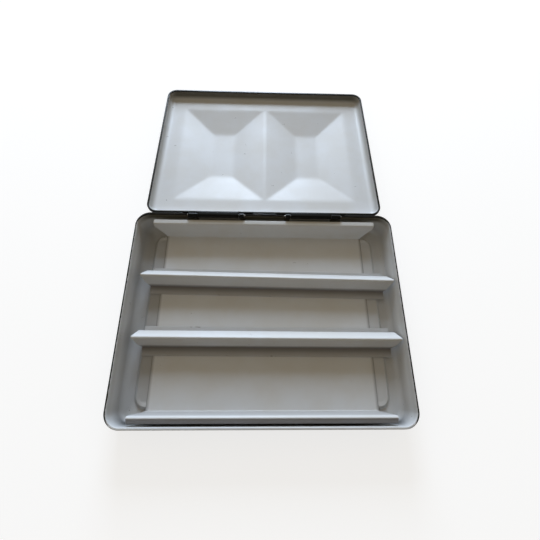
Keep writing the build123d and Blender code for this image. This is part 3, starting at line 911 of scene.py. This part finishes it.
# The table, the room, the window and the camera. Places are in metres, apart from the camera's.
TABLE_HALF = 3.0
TABLE_GREY, TABLE_GLOW = 0.36, 0.76
LIGHT_SIDE = (-0.25, 0.96, 0.10)
ROOM_DIM = (0.205, 0.177, 0.135, 1)
ROOM_BRIGHT = (0.41, 0.34, 0.235, 1)
WHITE = (1, 1, 1, 1)
WINDOW_PLACE, WINDOW_TARGET = (-0.04, 0.92, 0.32), (0, 0.03, 0)
WINDOW_WIDTH, WINDOW_HEIGHT = 0.34, 0.52
WINDOW_POWER, WINDOW_COLOUR = 11.8, (0.70, 0.83, 1.0)
CAMERA_PLACE = (-1.88, -39.55, 170.11)        # in millimetres
CAMERA_TURN = (0.3681, -0.0301, -0.0009)      # in radians
PICTURE_WIDTH, FOCAL_LENGTH = 540, 322.8      # in pixels of the photograph
SENSOR_WIDTH = 36


def tabletop():
    """The white surface that the tin lies on, a square in the plane z = 0. The camera sees it
    brighter than it lights, and it keeps the tin's soft shadow."""
    mesh = bpy.data.meshes.new("tabletop")
    ends = (-TABLE_HALF, TABLE_HALF)
    corners = [(x, y, 0) for y in ends for x in ends]
    mesh.from_pydata(corners, [], [(0, 1, 3, 2)])
    table = bpy.data.objects.new("tabletop", mesh)
    bpy.context.scene.collection.objects.link(table)
    material, tree, shader = finish_material("tabletop_white")
    shader.inputs["Base Color"].default_value = (TABLE_GREY, TABLE_GREY, TABLE_GREY, 1)
    shader.inputs["Roughness"].default_value = 0.9
    shader.inputs["Specular IOR Level"].default_value = 0.0
    seen = add(tree, "ShaderNodeLightPath").outputs["Is Camera Ray"]
    shader.inputs["Emission Color"].default_value = WHITE
    tree.links.new(maths(tree, "MULTIPLY", seen, TABLE_GLOW), shader.inputs["Emission Strength"])
    mesh.materials.append(material)


def soft_room():
    """A soft warm studio round the tin, which grows brighter from its front right to its back left.
    The camera sees plain white."""
    world = bpy.data.worlds.new("soft_room")
    bpy.context.scene.world = world
    world.use_nodes = True
    tree = world.node_tree
    background = tree.nodes["Background"]
    ways = add(tree, "ShaderNodeTexCoord").outputs["Generated"]
    toward = add(tree, "ShaderNodeVectorMath", {0: ways, 1: LIGHT_SIDE}, operation="DOT_PRODUCT")
    bright = ramp(tree, toward.outputs["Value"], -0.3, 1.0)
    colour = blended(tree, bright, ROOM_DIM, ROOM_BRIGHT)
    seen = add(tree, "ShaderNodeLightPath").outputs["Is Camera Ray"]
    tree.links.new(blended(tree, seen, colour, WHITE), background.inputs["Color"])
    background.inputs["Strength"].default_value = 1.0


def window():
    """A cool rectangular area light behind the tin that faces it."""
    lamp = bpy.data.lights.new("window", "AREA")
    lamp.shape, lamp.size, lamp.size_y = "RECTANGLE", WINDOW_WIDTH, WINDOW_HEIGHT
    lamp.energy, lamp.color = WINDOW_POWER, WINDOW_COLOUR
    light = bpy.data.objects.new("window", lamp)
    light.location = WINDOW_PLACE
    toward = np.array(WINDOW_TARGET, float) - np.array(WINDOW_PLACE, float)
    flat = hypot(toward[0], toward[1])
    light.rotation_euler = (np.arctan2(flat, -toward[2]), 0, np.arctan2(-toward[0], toward[1]))
    bpy.context.scene.collection.objects.link(light)


def camera():
    """The photograph's view, from above the front edge. The lens follows from the picture's width
    and its focal length in pixels."""
    data = bpy.data.cameras.new("photo_view")
    data.sensor_width = SENSOR_WIDTH
    data.lens = SENSOR_WIDTH * FOCAL_LENGTH / PICTURE_WIDTH
    data.clip_start = 0.005
    view = bpy.data.objects.new("photo_view", data)
    view.location = [place * MM for place in CAMERA_PLACE]
    view.rotation_euler = CAMERA_TURN
    bpy.context.scene.collection.objects.link(view)
    bpy.context.scene.camera = view


tabletop()
soft_room()
window()
camera()
bpy.context.scene.view_settings.view_transform = "Standard"
